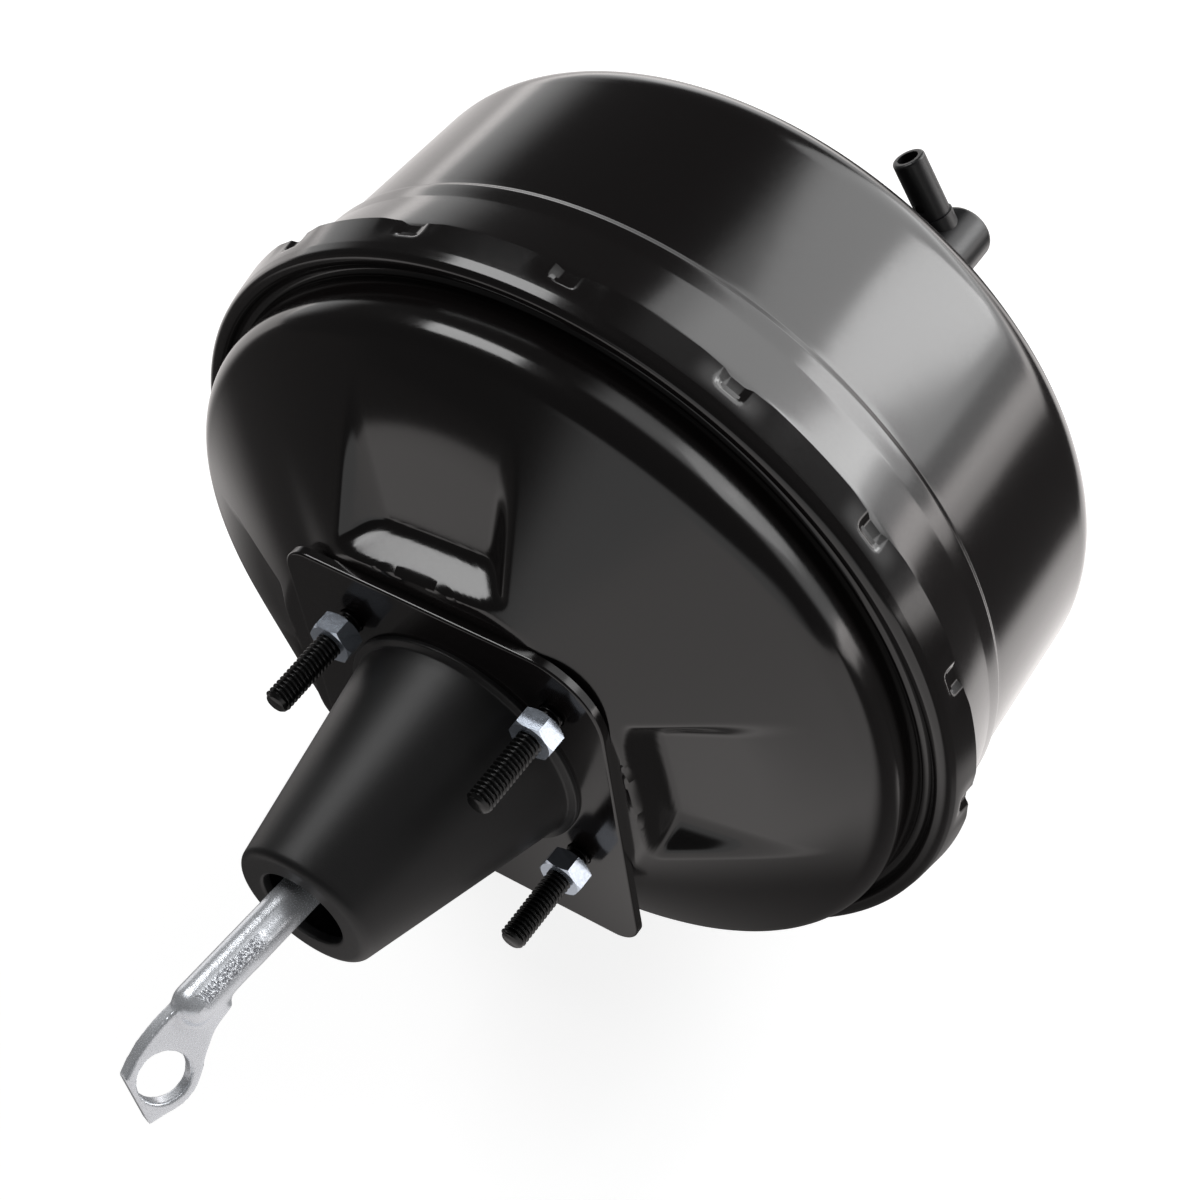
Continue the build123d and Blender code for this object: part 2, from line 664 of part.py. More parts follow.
with BuildPart() as return_spring:
    spring_y = SUPPORT_Y + SUPPORT_T + RETURN_WIRE / 2 + 0.4
    spring_rise = CUP_Y - RETURN_WIRE / 2 - 0.4 - spring_y
    coil((AXIS_X, FACE_Y + spring_y, 0), RETURN_R, RETURN_WIRE, spring_rise, RETURN_TURNS)

# --------------------------------------------------------------- input valve
with BuildPart() as valve_plunger:
    back_y = SEAT_Y - FIT
    groove_y = KEY_Y + KEY_T - GROOVE_T + 1.5
    nose_y = DISC_POCKET_Y - 2
    lathe(
        [
            (0, back_y),
            (PLUNGER_R, back_y),
            (PLUNGER_R, groove_y),
            (GROOVE_R, groove_y),
            (GROOVE_R, groove_y + GROOVE_T),
            (PLUNGER_R, groove_y + GROOVE_T),
            (PLUNGER_R, nose_y - 1.5),
            (PLUNGER_NOSE_R, nose_y),
            (0, nose_y),
        ]
    )
    ring(0, BALL_R + FIT, back_y - 1, PIVOT_Y, Mode.SUBTRACT)
    with Locations(PIVOT):
        Sphere(BALL_R + FIT, mode=Mode.SUBTRACT)

with BuildPart() as poppet_valve:
    poppet_y = SEAT_Y - POPPET_T - GAP
    lathe(
        [
            (POPPET_HOLE_R, poppet_y),
            (POPPET_HOLE_R, poppet_y + POPPET_T),
            (POPPET_FACE_R, poppet_y + POPPET_T),
            (POPPET_FACE_R, poppet_y),
            (POPPET_FACE_R - 0.6, poppet_y - 1),
            (TAIL_BORE_R - GAP, poppet_y - POPPET_LENGTH + 3),
            (TAIL_BORE_R - GAP, poppet_y - POPPET_LENGTH),
            (TAIL_BORE_R - 3, poppet_y - POPPET_LENGTH),
            (TAIL_BORE_R - 3, poppet_y - POPPET_LENGTH + 2),
            (POPPET_FACE_R - 1.8, poppet_y),
        ]
    )

with BuildPart() as poppet_retainer:
    retainer_y = poppet_y - POPPET_LENGTH - RETAINER_T
    ring(RETAINER_HOLE_R, TAIL_BORE_R - GAP, retainer_y, retainer_y + RETAINER_T)

with BuildPart() as poppet_spring:
    spring_y = retainer_y + RETAINER_T + POPPET_WIRE / 2 + GAP
    spring_rise = poppet_y - POPPET_WIRE / 2 - GAP - spring_y
    coil((AXIS_X, FACE_Y + spring_y, 0), POPPET_SPRING_R, POPPET_WIRE, spring_rise, SMALL_TURNS)

with BuildPart() as rod_spring:
    spring_y = PIVOT_Y - ROD_STEP + WASHER_T + VALVE_WIRE / 2 + 0.9
    spring_rise = retainer_y - VALVE_WIRE / 2 - GAP - spring_y
    coil((AXIS_X, FACE_Y + spring_y, 0), VALVE_SPRING_R, VALVE_WIRE, spring_rise, SMALL_TURNS)

with BuildPart() as silencer:
    silencer_y = -TAIL_END + END_RING_T
    ring(FILTER_HOLE_R, TAIL_BORE_R - GAP, silencer_y, silencer_y + SILENCER_T)

with BuildPart() as air_filter:
    filter_y = silencer_y + SILENCER_T
    ring(FILTER_HOLE_R, TAIL_BORE_R - GAP, filter_y, filter_y + FILTER_T)

with BuildPart() as end_ring:
    ring(FILTER_HOLE_R + 1, TAIL_BORE_R, -TAIL_END, silencer_y)

# ----------------------------------------------------------------- input rod
with BuildPart() as input_rod:
    ball_low = math.sqrt(BALL_R**2 - NECK_ROD_R**2)
    with BuildSketch(ROD_PLANE):
        with BuildLine():
            ThreePointArc((0, -BALL_R), (BALL_R, 0), (NECK_ROD_R, ball_low))
            Polyline(
                (NECK_ROD_R, ball_low),
                (NECK_ROD_R, ROD_STEP),
                (SHAFT_R, ROD_STEP),
                (SHAFT_R, ROD_BEND),
                (0, ROD_BEND),
                (0, -BALL_R),
            )
        make_face()
    revolve(axis=Axis(PIVOT, ROD_DIR))
    with Locations(BEND):
        Sphere(SHAFT_R)
    with BuildSketch(EYE_PLANE.offset(-EYE_T / 2)):
        with BuildLine():
            Spline(
                (-EYE_REACH - 3.0, -2.5),
                (-EYE_REACH * 0.66, -7.6),
                (0, -EYE_R),
                tangents=((1, -0.7), (1, 0)),
            )
            Polyline(
                (0, -EYE_R),
                (EYE_R * 0.33, -EYE_R),
                (EYE_R * 1.3, EYE_R * 0.2),
                (EYE_R * 0.71, EYE_R * 0.71),
            )
            ThreePointArc(
                (EYE_R * 0.71, EYE_R * 0.71),
                (EYE_R * 0.38, EYE_R * 0.92),
                (0, EYE_R),
            )
            Spline(
                (0, EYE_R),
                (-EYE_REACH * 0.5, 8.6),
                (-EYE_REACH - 3.5, 11.0),
                tangents=((-1, 0), (-1, 0.35)),
            )
            Line((-EYE_REACH - 3.5, 11.0), (-EYE_REACH - 3.0, -2.5))
        make_face()
    extrude(amount=EYE_T)
    with BuildSketch(EYE_PLANE.offset(-EYE_T)):
        Circle(EYE_HOLE_R)
    extrude(amount=2 * EYE_T, mode=Mode.SUBTRACT)

with BuildPart() as spring_washer:
    with BuildSketch(ROD_PLANE):
        with Locations(((NECK_ROD_R + WASHER_R) / 2, ROD_STEP - WASHER_T / 2)):
            Rectangle(WASHER_R - NECK_ROD_R, WASHER_T)
    revolve(axis=Axis(PIVOT, ROD_DIR))

# --------------------------------------------------------------- check valve
VALVE_PLACE = [(VALVE_X, VALVE_Z)]

with BuildPart() as grommet:
    posts(VALVE_PLACE, GROMMET_HOLE_R, INNER_FRONT_Y, FRONT_Y)
    posts(VALVE_PLACE, GROMMET_R, FRONT_Y, FRONT_Y + GROMMET_LIP)
    posts(VALVE_PLACE, GROMMET_HOLE_R + 2, INNER_FRONT_Y - GROMMET_LIP, INNER_FRONT_Y)
    posts(VALVE_PLACE, GROMMET_BORE_R, INNER_FRONT_Y - 5, FRONT_Y + 5, Mode.SUBTRACT)

with BuildPart() as check_elbow:
    valve_top = VALVE_Y + VALVE_BODY_LENGTH
    valve_foot = INNER_FRONT_Y - GROMMET_LIP - 3
    posts(VALVE_PLACE, VALVE_BODY_R, VALVE_Y, valve_top)
    fillet(check_elbow.edges().filter_by(GeomType.CIRCLE).group_by(Axis.Y)[-1], 2.0)
    posts(VALVE_PLACE, GROMMET_BORE_R - FIT, valve_foot, VALVE_Y)
    angle = math.radians(HOSE_ANGLE)
    tube_from = Vector(AXIS_X + VALVE_X, FACE_Y + VALVE_Y + HOSE_Y, VALVE_Z)
    tube_dir = Vector(math.cos(angle), 0, math.sin(angle))
    tube_plane = Plane(origin=tube_from, x_dir=(0, 1, 0), z_dir=tube_dir)
    with BuildSketch(tube_plane):
        Circle(HOSE_R)
    extrude(amount=HOSE_LENGTH)
    with BuildSketch(tube_plane):
        Circle(HOSE_ROOT_R)
    extrude(amount=HOSE_ROOT)
    fillet(check_elbow.edges().filter_by(GeomType.CIRCLE).sort_by_distance(tube_from)[-1], 0.8)
    posts(VALVE_PLACE, VALVE_BODY_R - VALVE_WALL, VALVE_Y + 4, valve_top - 2, Mode.SUBTRACT)
    posts(VALVE_PLACE, CHECK_PORT_R, valve_foot - 1, VALVE_Y + 5, Mode.SUBTRACT)
    with BuildSketch(tube_plane):
        Circle(HOSE_BORE_R)
    extrude(amount=HOSE_LENGTH + 1, mode=Mode.SUBTRACT)
    pip_at = tube_from + tube_dir * (HOSE_LENGTH * 0.53) + Vector(0, PIP_DEPTH - HOSE_R, 0)
    with BuildSketch(Plane(origin=pip_at, x_dir=(1, 0, 0), z_dir=(0, -1, 0))):
        Circle(PIP_R)
    extrude(amount=PIP_DEPTH + 1, mode=Mode.SUBTRACT)

with BuildPart() as check_disc:
    disc_y = VALVE_Y + 4 + GAP
    posts(VALVE_PLACE, CHECK_DISC_R, disc_y, disc_y + CHECK_DISC_T)

with BuildPart() as check_spring:
    spring_y = disc_y + CHECK_DISC_T + CHECK_WIRE / 2 + GAP
    spring_rise = valve_top - 2 - CHECK_WIRE / 2 - GAP - spring_y
    spring_at = (AXIS_X + VALVE_X, FACE_Y + spring_y, VALVE_Z)
    coil(spring_at, CHECK_SPRING_R, CHECK_WIRE, spring_rise, SMALL_TURNS)

# -------------------------------------------------------------------- export
PIECES = {
    "rear_shell": rear_shell,
    "front_shell": front_shell,
    "rear_plate": rear_plate,
    "front_plate": front_plate,
    "firewall_studs": firewall_studs,
    "firewall_nuts": firewall_nuts,
    "mc_studs": mc_studs,
    "mounting_plate": mounting_plate,
    "dust_boot": dust_boot,
    "rear_seal": rear_seal,
    "guide_bush": guide_bush,
    "seal_retainer": seal_retainer,
    "seal_cup": seal_cup,
    "front_seal": front_seal,
    "diaphragm": diaphragm,
    "support_plate": support_plate,
    "valve_body": valve_body,
    "stop_key": stop_key,
    "reaction_disc": reaction_disc,
    "output_rod": output_rod,
    "rod_adjuster": rod_adjuster,
    "output_clip": output_clip,
    "return_spring": return_spring,
    "valve_plunger": valve_plunger,
    "poppet_valve": poppet_valve,
    "poppet_retainer": poppet_retainer,
    "poppet_spring": poppet_spring,
    "rod_spring": rod_spring,
    "silencer": silencer,
    "air_filter": air_filter,
    "end_ring": end_ring,
    "input_rod": input_rod,
    "spring_washer": spring_washer,
    "grommet": grommet,
    "check_elbow": check_elbow,
    "check_disc": check_disc,
    "check_spring": check_spring,
}
for name, piece in PIECES.items():
    piece.part.label = name
    export_step(piece.part, f"parts/{name}.step")
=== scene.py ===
import bpy, json, math
import numpy as np
from mathutils import Euler, Matrix, Vector


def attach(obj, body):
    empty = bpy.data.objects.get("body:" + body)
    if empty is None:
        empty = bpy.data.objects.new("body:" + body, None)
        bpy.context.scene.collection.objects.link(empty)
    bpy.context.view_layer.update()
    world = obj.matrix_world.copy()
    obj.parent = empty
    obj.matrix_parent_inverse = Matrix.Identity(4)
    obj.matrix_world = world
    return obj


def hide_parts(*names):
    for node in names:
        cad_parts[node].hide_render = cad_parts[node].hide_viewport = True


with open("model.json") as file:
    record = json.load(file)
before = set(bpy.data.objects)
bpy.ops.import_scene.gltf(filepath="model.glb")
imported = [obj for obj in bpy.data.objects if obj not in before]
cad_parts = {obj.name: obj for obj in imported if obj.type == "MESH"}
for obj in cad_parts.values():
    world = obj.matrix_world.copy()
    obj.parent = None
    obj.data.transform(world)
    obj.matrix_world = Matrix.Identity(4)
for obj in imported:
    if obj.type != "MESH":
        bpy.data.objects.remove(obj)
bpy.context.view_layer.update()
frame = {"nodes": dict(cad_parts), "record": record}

WHITE = (1, 1, 1, 1)


# ---------------------------------------------------------- node helpers
def noise(tree, scale, detail=2.0):
    """Noise in the piece's own coordinates, as a value from 0 to 1."""
    coords = tree.nodes.new("ShaderNodeTexCoord")
    tex = tree.nodes.new("ShaderNodeTexNoise")
    tex.inputs["Scale"].default_value = scale
    tex.inputs["Detail"].default_value = detail
    tree.links.new(coords.outputs["Object"], tex.inputs["Vector"])
    return tex.outputs["Fac"]


def bump(tree, shader, height, strength, distance):
    """Raises a shader's surface by a height from 0 to 1, over a distance in metres."""
    node = tree.nodes.new("ShaderNodeBump")
    node.inputs["Strength"].default_value = strength
    node.inputs["Distance"].default_value = distance
    tree.links.new(height, node.inputs["Height"])
    tree.links.new(node.outputs["Normal"], shader.inputs["Normal"])


def spread(tree, source, low, high):
    """A value from 0 to 1, brought to run from low to high."""
    node = tree.nodes.new("ShaderNodeMapRange")
    node.inputs["To Min"].default_value = low
    node.inputs["To Max"].default_value = high
    tree.links.new(source, node.inputs["Value"])
    return node.outputs["Result"]


def ramp(tree, value, low, high):
    """Smooth 0 to 1 while a value runs from low to high, which may be the smaller number."""
    node = tree.nodes.new("ShaderNodeMapRange")
    node.interpolation_type = "SMOOTHSTEP"
    node.inputs["From Min"].default_value = min(low, high)
    node.inputs["From Max"].default_value = max(low, high)
    node.inputs["To Min"].default_value = 0.0 if low < high else 1.0
    node.inputs["To Max"].default_value = 1.0 if low < high else 0.0
    tree.links.new(value, node.inputs["Value"])
    return node.outputs["Result"]


def combine(tree, kind, first, *others):
    """Sockets and floats joined one after another by one kind of sum."""
    result = first
    for other in others:
        node = tree.nodes.new("ShaderNodeMath")
        node.operation = kind
        for socket, value in zip(node.inputs, (result, other)):
            if isinstance(value, float):
                socket.default_value = value
            else:
                tree.links.new(value, socket)
        result = node.outputs[0]
    return result


def times(tree, *values):
    return combine(tree, "MULTIPLY", *values)


def plus(tree, *values):
    return combine(tree, "ADD", *values)


def axes_of(tree, output):
    """The X, Y and Z values of the place, or of the direction, that is being shaded."""
    coords = tree.nodes.new("ShaderNodeTexCoord")
    split = tree.nodes.new("ShaderNodeSeparateXYZ")
    tree.links.new(coords.outputs[output], split.inputs["Vector"])
    return split.outputs


def glow(tree, kind, strength, color=WHITE):
    """Light given off by a surface or by the world, with a float or a socket as its strength."""
    node = tree.nodes.new(kind)
    node.inputs["Color"].default_value = color
    if isinstance(strength, float):
        node.inputs["Strength"].default_value = strength
    else:
        tree.links.new(strength, node.inputs["Strength"])
    return node.outputs[0]


def mixed(tree, share, first, second):
    """One shader where the share is 0, and another where it is 1."""
    node = tree.nodes.new("ShaderNodeMixShader")
    tree.links.new(share, node.inputs["Fac"])
    tree.links.new(first, node.inputs[1])
    tree.links.new(second, node.inputs[2])
    return node.outputs["Shader"]


# ------------------------------------------------------------- materials
def material(name, color, rough, metal=0.0):
    """A new material, its node tree and its shader."""
    mat = bpy.data.materials.new(name)
    mat.use_nodes = True
    tree = mat.node_tree
    shader = tree.nodes["Principled BSDF"]
    shader.inputs["Base Color"].default_value = (*color, 1)
    shader.inputs["Roughness"].default_value = rough
    shader.inputs["Metallic"].default_value = metal
    return mat, tree, shader


def black_paint():
    """Glossy black paint over pressed sheet, with a faint waviness."""
    mat, tree, shader = material("black_paint", (0.0055, 0.0045, 0.0045), 0.15)
    shader.inputs["Specular IOR Level"].default_value = 0.7
    tree.links.new(spread(tree, noise(tree, 900.0), 0.11, 0.18), shader.inputs["Roughness"])
    bump(tree, shader, noise(tree, 45.0), 0.05, 0.0006)
    return mat


def boot_rubber():
    """Matte black rubber with a fine grain."""
    mat, tree, shader = material("boot_rubber", (0.0095, 0.009, 0.0095), 0.45)
    shader.inputs["Specular IOR Level"].default_value = 0.45
    grain = noise(tree, 2500.0)
    tree.links.new(spread(tree, grain, 0.38, 0.50), shader.inputs["Roughness"])
    bump(tree, shader, grain, 0.12, 0.0002)
    return mat


def bright_metal(name, color, rough, metal=0.9):
    """Plated or bare metal with a fine grain."""
    mat, tree, shader = material(name, color, rough, metal)
    grain = noise(tree, 900.0, 4.0)
    tree.links.new(spread(tree, grain, rough - 0.05, rough + 0.08), shader.inputs["Roughness"])
    bump(tree, shader, grain, 0.15, 0.00005)
    return mat


def plain(name, color, rough):
    """Plastic, rubber or dark plating with a faint grain."""
    mat, tree, shader = material(name, color, rough)
    grain = noise(tree, 1500.0)
    tree.links.new(spread(tree, grain, rough - 0.06, rough + 0.06), shader.inputs["Roughness"])
    bump(tree, shader, grain, 0.1, 0.0001)
    return mat


ZINC_COLOR = (0.92, 0.95, 1.0)
PIT_COLOR = (0.30, 0.31, 0.34)
STRIP_FACING = (0.683, -0.282, 0.674)
STRIP_FRONT = (-0.102, -0.098)
STRIP_BACK = (-0.074, -0.079)
GRAIN_HEIGHT, PIT_HEIGHT = 0.2, 2.4


def forged_zinc():
    """Zinc over forged steel: fine grain, with a coarse pitted strip along one side of the shaft."""
    mat, tree, shader = material("forged_steel", ZINC_COLOR, 0.26, 0.58)
    links = tree.links
    grain = noise(tree, 2300.0, 3.0)
    links.new(spread(tree, grain, 0.18, 0.34), shader.inputs["Roughness"])
    pits = noise(tree, 1300.0, 5.0)
    shape = tree.nodes.new("ShaderNodeNewGeometry")
    facing = tree.nodes.new("ShaderNodeVectorMath")
    facing.operation = "DOT_PRODUCT"
    facing.inputs[1].default_value = STRIP_FACING
    links.new(shape.outputs["Normal"], facing.inputs[0])
    side = ramp(tree, facing.outputs["Value"], 0.86, 0.92)
    station = axes_of(tree, "Object")["Y"]
    along = times(tree, ramp(tree, station, *STRIP_BACK), ramp(tree, station, *STRIP_FRONT))
    strip = times(tree, side, along)
    height = plus(tree, times(tree, grain, GRAIN_HEIGHT), times(tree, strip, PIT_HEIGHT, pits))
    bump(tree, shader, height, 0.5, 0.00045)
    tint = tree.nodes.new("ShaderNodeMix")
    tint.data_type = "RGBA"
    tint.inputs["A"].default_value = (*ZINC_COLOR, 1)
    tint.inputs["B"].default_value = (*PIT_COLOR, 1)
    links.new(times(tree, strip, ramp(tree, pits, 0.60, 0.44)), tint.inputs["Factor"])
    links.new(tint.outputs["Result"], shader.inputs["Base Color"])
    return mat


MATS = {
    "black_paint": black_paint(),
    "boot_rubber": boot_rubber(),
    "black_plated": plain("black_plated", (0.004, 0.004, 0.004), 0.24),
    "zinc_plated": bright_metal("zinc_plated", (0.70, 0.77, 0.88), 0.17, 0.85),
    "forged_steel": forged_zinc(),
    "machined_steel": bright_metal("machined_steel", (0.56, 0.56, 0.56), 0.3),
    "seal_rubber": plain("seal_rubber", (0.014, 0.014, 0.014), 0.55),
    "diaphragm_rubber": plain("diaphragm_rubber", (0.02, 0.02, 0.021), 0.6),
    "phenolic": plain("phenolic", (0.04, 0.028, 0.02), 0.5),
    "white_plastic": plain("white_plastic", (0.7, 0.69, 0.64), 0.4),
    "black_plastic": plain("black_plastic", (0.01, 0.01, 0.011), 0.34),
    "spring_steel": bright_metal("spring_steel", (0.36, 0.36, 0.37), 0.35),
    "filter_felt": plain("filter_felt", (0.55, 0.52, 0.42), 0.9),
    "filter_foam": plain("filter_foam", (0.04, 0.04, 0.045), 0.9),
}
SLOTS = {part["node"]: part["material_slot"] for part in frame["record"]["subparts"]}
for name, obj in frame["nodes"].items():
    obj.data.materials.clear()
    obj.data.materials.append(MATS[SLOTS[name]])

# -------------------------------------------------------- outlines, in mm
MM = 0.001
AXIS_X = -4.5
FACE_Y = 11.0
SHEET = 1.8
ARC_STEPS = 10


def rounded(points, radii):
    """Dense outline through points, with an arc of its own radius at each inner corner."""
    out = [points[0]]
    for i in range(1, len(points) - 1):
        p = np.array(points[i], float)
        a = np.array(points[i - 1], float) - p
        b = np.array(points[i + 1], float) - p
        a /= np.linalg.norm(a)
        b /= np.linalg.norm(b)
        half = math.acos(max(-1.0, min(1.0, float(a @ b)))) / 2
        r = radii[i - 1]
        centre = p + (a + b) / np.linalg.norm(a + b) * r / math.sin(half)
        start = p + a * r / math.tan(half) - centre
        end = p + b * r / math.tan(half) - centre
        sweep = math.pi - 2 * half
        n = max(2, int(ARC_STEPS * sweep / 1.57) + 2)
        for k in range(n + 1):
            t = k / n
            q = (start * math.sin((1 - t) * sweep) + end * math.sin(t * sweep)) / math.sin(sweep)
            out.append(tuple(centre + q))
    out.append(points[-1])
    return out


def refined(outline, longest):
    """The same outline with no step longer than a length."""
    out = [outline[0]]
    for p, q in zip(outline, outline[1:]):
        n = max(1, math.ceil(math.dist(p, q) / longest))
        out += [tuple(np.array(p) + (np.array(q) - np.array(p)) * k / n) for k in range(1, n + 1)]
    return out


def thickened(outline, thickness):
    """Closed section of a sheet, its second skin on the left of the outline."""
    pts = np.array(outline, float)
    run = np.gradient(pts, axis=0)
    run /= np.linalg.norm(run, axis=1)[:, None]
    left = np.stack([-run[:, 1], run[:, 0]], axis=1)
    return [tuple(p) for p in pts] + [tuple(p) for p in (pts + left * thickness)[::-1]]


def smooth_max(a, b, k):
    """The larger of two values, blended over a width k where they meet."""
    h = np.clip(0.5 + 0.5 * (a - b) / k, 0, 1)
    return b + (a - b) * h + k * h * (1 - h)


def smooth_min(a, b, k):
    return -smooth_max(-a, -b, k)


def smooth_step(x, low, high):
    """Smooth 0 to 1 while x runs from low to high."""
    t = np.clip((x - low) / (high - low), 0, 1)
    return t * t * (3 - 2 * t)


# ---------------------------------------------------------------- meshes
def mesh_piece(name, verts, faces, slot, node, sharp):
    """A smooth piece of the casing, from points in mm, that takes a solid's place."""
    mesh = bpy.data.meshes.new(name)
    mesh.from_pydata([tuple(c * MM for c in v) for v in verts], [], faces)
    mesh.validate()
    mesh.update()
    obj = bpy.data.objects.new(name, mesh)
    bpy.context.collection.objects.link(obj)
    mesh.materials.append(MATS[slot])
    mesh.shade_smooth()
    mesh.set_sharp_from_angle(angle=math.radians(sharp))
    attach(obj, "casing")
    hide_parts(node)


def turned(name, section, slot, node, segments, shift=None, lean=None):
    """Closed (radius, station) section turned about the booster's axis."""
    sec = np.array(section, float)
    angles = np.arange(segments) * 2 * math.pi / segments
    r, a = np.meshgrid(sec[:, 0], angles)
    y = np.meshgrid(sec[:, 1], angles)[0]
    if shift:
        r, y = shift(r, y, a)
    x, z = r * np.cos(a) + AXIS_X, r * np.sin(a)
    if lean:
        x, z = x + lean(y)[0], z + lean(y)[1]
    verts = np.stack([x, y + FACE_Y, z], axis=-1).reshape(-1, 3)
    n = len(section)
    faces = []
    for i in range(segments):
        k = (i + 1) % segments
        faces += [(i * n + j, i * n + (j + 1) % n, k * n + (j + 1) % n, k * n + j) for j in range(n)]
    mesh_piece(name, verts, faces, slot, node, 40)


# ------------------------------------------------------------ rear shell
DOME_R, DOME_Y = 123.4, 3.0
LIP_Y, RIM_Y = 64.2, 55.0
DOME_FROM_R, DOME_TO_R, DOME_END_Y = 50, 116, 45
POCKETS, POCKET_TURN, POCKET_BLEND = 4, 4.5, 5.0
POCKET_NEAR_R, POCKET_WALL_R, POCKET_FLOOR_R = 45, 61.3, 64.7
POCKET_FLOOR_Y = 15.5
POCKET_WALL_SLOPE = 12.5 / 3.4
POCKET_FLOOR_SLOPE = 6.5 / 26.3
POCKET_HALF, POCKET_SIDE_SLOPE, POCKET_FLARE = 30.0, 1.15, 0.5
LANCES, LANCE_PHASE, LANCE_DEPTH = 16, 15.5, 1.9
LANCE_R, LIP_MIN_R = 135.0, 130
DENT_SHARE, DENT_EDGE, DENT_STEP = 0.75, (2.2, 5.2), (LIP_Y - 5.2, LIP_Y - 4.3)
DIP_SHARE, DIP_EDGE, DIP_STEP = 0.35, (5.0, 13.0), (LIP_Y - 8.0, LIP_Y)


def pocket_y(u, w):
    """Station of a pocket's surface at a place across and along its own direction."""
    wall = DOME_Y + (w - POCKET_WALL_R) * POCKET_WALL_SLOPE
    floor = POCKET_FLOOR_Y + (w - POCKET_FLOOR_R) * POCKET_FLOOR_SLOPE
    side = DOME_Y + (POCKET_HALF - np.abs(u)) * POCKET_SIDE_SLOPE + (w - POCKET_WALL_R) * POCKET_FLARE
    return smooth_min(smooth_min(wall, floor, POCKET_BLEND), side, POCKET_BLEND)


def press_rear(r, y, a):
    """Pushes the pockets and the lances into the rear shell."""
    out_y = y.copy()
    dome = (r > DOME_FROM_R) & (r < DOME_TO_R) & (y < DOME_END_Y)
    inner_skin = np.arange(r.shape[1]) >= r.shape[1] // 2
    for k in range(POCKETS):
        turn = math.radians(360 / POCKETS * k + POCKET_TURN)
        w, u = r * np.cos(a - turn), r * np.sin(a - turn)
        pushed = smooth_max(out_y, pocket_y(u, w) + inner_skin * SHEET, POCKET_BLEND * 0.7)
        out_y = np.where(dome & (w > POCKET_NEAR_R), pushed, out_y)
    pitch = 2 * math.pi / LANCES
    off = (a - math.radians(LANCE_PHASE) + pitch / 2) % pitch - pitch / 2
    along = np.abs(off) * LANCE_R
    dent = (1 - smooth_step(along, *DENT_EDGE)) * smooth_step(y, *DENT_STEP)
    dip = (1 - smooth_step(along, *DIP_EDGE)) * smooth_step(y, *DIP_STEP)
    lip = (r > LIP_MIN_R) & (y > RIM_Y)
    pressed_r = r - LANCE_DEPTH * dent * DENT_SHARE - LANCE_DEPTH * dip * DIP_SHARE
    return np.where(lip, pressed_r, r), out_y


REAR = rounded(
    [(28, -9), (28, DOME_Y), (64, DOME_Y), (DOME_R, 36.5), (DOME_R, RIM_Y), (127.6, RIM_Y),
     (128, 51.4), (132.6, 51.4), (133.7, 55.4), (135.2, LIP_Y)],
    [1.9, 6, 10, 2.0, 2.0, 2.2, 2.6, 3.0])
turned("rear_shell_pressed", thickened(refined(REAR, 1.0), SHEET), "black_paint", "rear_shell", 900,
       shift=press_rear)

# ----------------------------------------------------------- front shell
FRONT_Y = 161.5
FRONT = rounded(
    [(31, FRONT_Y), (60, FRONT_Y), (64, 160), (125.6, 160), (127.3, 91.8), (128.7, 89.4),
     (129, 83.4), (131.3, 67.3), (131.3, 61.1), (133.1, 61.1)],
    [2, 4, 14, 1.0, 1.2, 8, 8, 0.5])
turned("front_shell_pressed", thickened(refined(FRONT, 2.0), -SHEET)[::-1], "black_paint",
       "front_shell", 480)

# ------------------------------------------------------------------ boot
BOOT_LENGTH = 72.0
BOOT_SEAT = (39.9, 0.05)


def boot_lean(y):
    """How far the boot's axis stands off the booster's, across and up, at a station."""
    share = np.clip(-y / BOOT_LENGTH, 0, 1.05)
    return 4.0 - 3.0 * share, 2.5 * share


BOOT = rounded(
    [BOOT_SEAT, (39.9, -1.4), (37.4, -2.2), (22, -BOOT_LENGTH), (13.7, -BOOT_LENGTH), (13.7, -68.5),
     (18.6, -68.5), (33.6, 0.05), BOOT_SEAT],
    [0.6, 0.9, 3.2, 1.0, 0.6, 4, 0.5])
turned("boot_cone", refined(BOOT, 1.5), "boot_rubber", "dust_boot", 360, lean=boot_lean)

# --------------------------------------------------------------- threads
THREAD_R, THREAD_PITCH = 4.0, 1.5
THREAD_DEPTH = 0.6 * THREAD_PITCH
THREAD_SIDES, ROWS_PER_TURN = 40, 10
TIP_CHAMFER, ROOT_RELIEF, ROOT_LENGTH = 1.0, 0.25, 0.3
STUD_X, STUD_Z, STUD_LENGTH = 35.0, 33.0, 34.8
MC_STUD_X, MC_STUD_LENGTH = 43, 24.0


def thread_radius(y, turn, start, end):
    """Radius at a station and a share of a turn: plain at the start, chamfered at the end."""
    if abs(y - start) < ROOT_LENGTH:
        return THREAD_R - ROOT_RELIEF
    wave = abs(((y / THREAD_PITCH - turn) % 1.0) * 2 - 1)
    radius = THREAD_R - THREAD_DEPTH * smooth_step(wave, 0.15, 0.95)
    return min(radius, THREAD_R - TIP_CHAMFER + abs(end - y))


